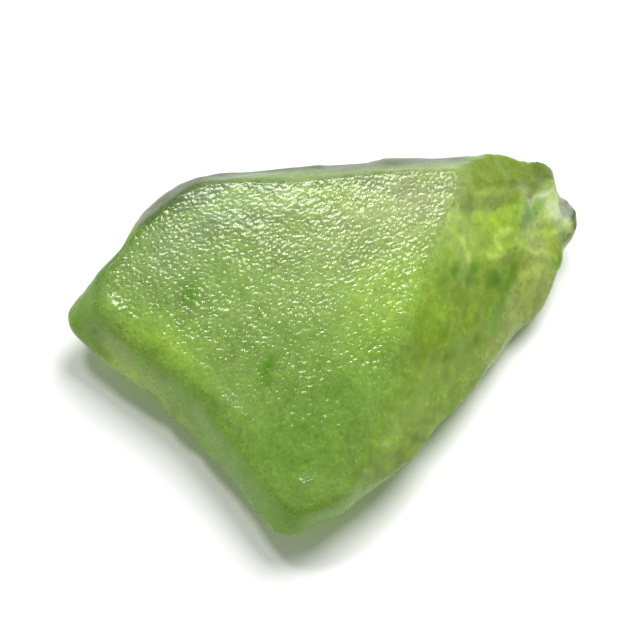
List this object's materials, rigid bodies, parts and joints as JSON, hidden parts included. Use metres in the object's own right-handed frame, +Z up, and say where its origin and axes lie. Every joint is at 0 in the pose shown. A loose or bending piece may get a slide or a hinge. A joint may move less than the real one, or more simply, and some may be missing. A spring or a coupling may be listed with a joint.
{
  "type": "sphene crystal",
  "caption": "Rough green translucent sphene fragment: a flat frosted top, a glassy broken slope and a chipped corner, lying on a small flat spot.",
  "frame": {"origin": "on the surface the piece lies on, under the middle of its plan outline", "axes": "+X along the longest extent, towards the chipped corner; +Y towards the long straight back edge; +Z up"},
  "size_m": [0.0122, 0.0092, 0.0039],
  "materials": {
    "sphene": "frosted on the top face, glassy on the breaks"
  },
  "bodies": {
    "root": {"sphene_crystal": "sphene"}
  },
  "joints": []
}
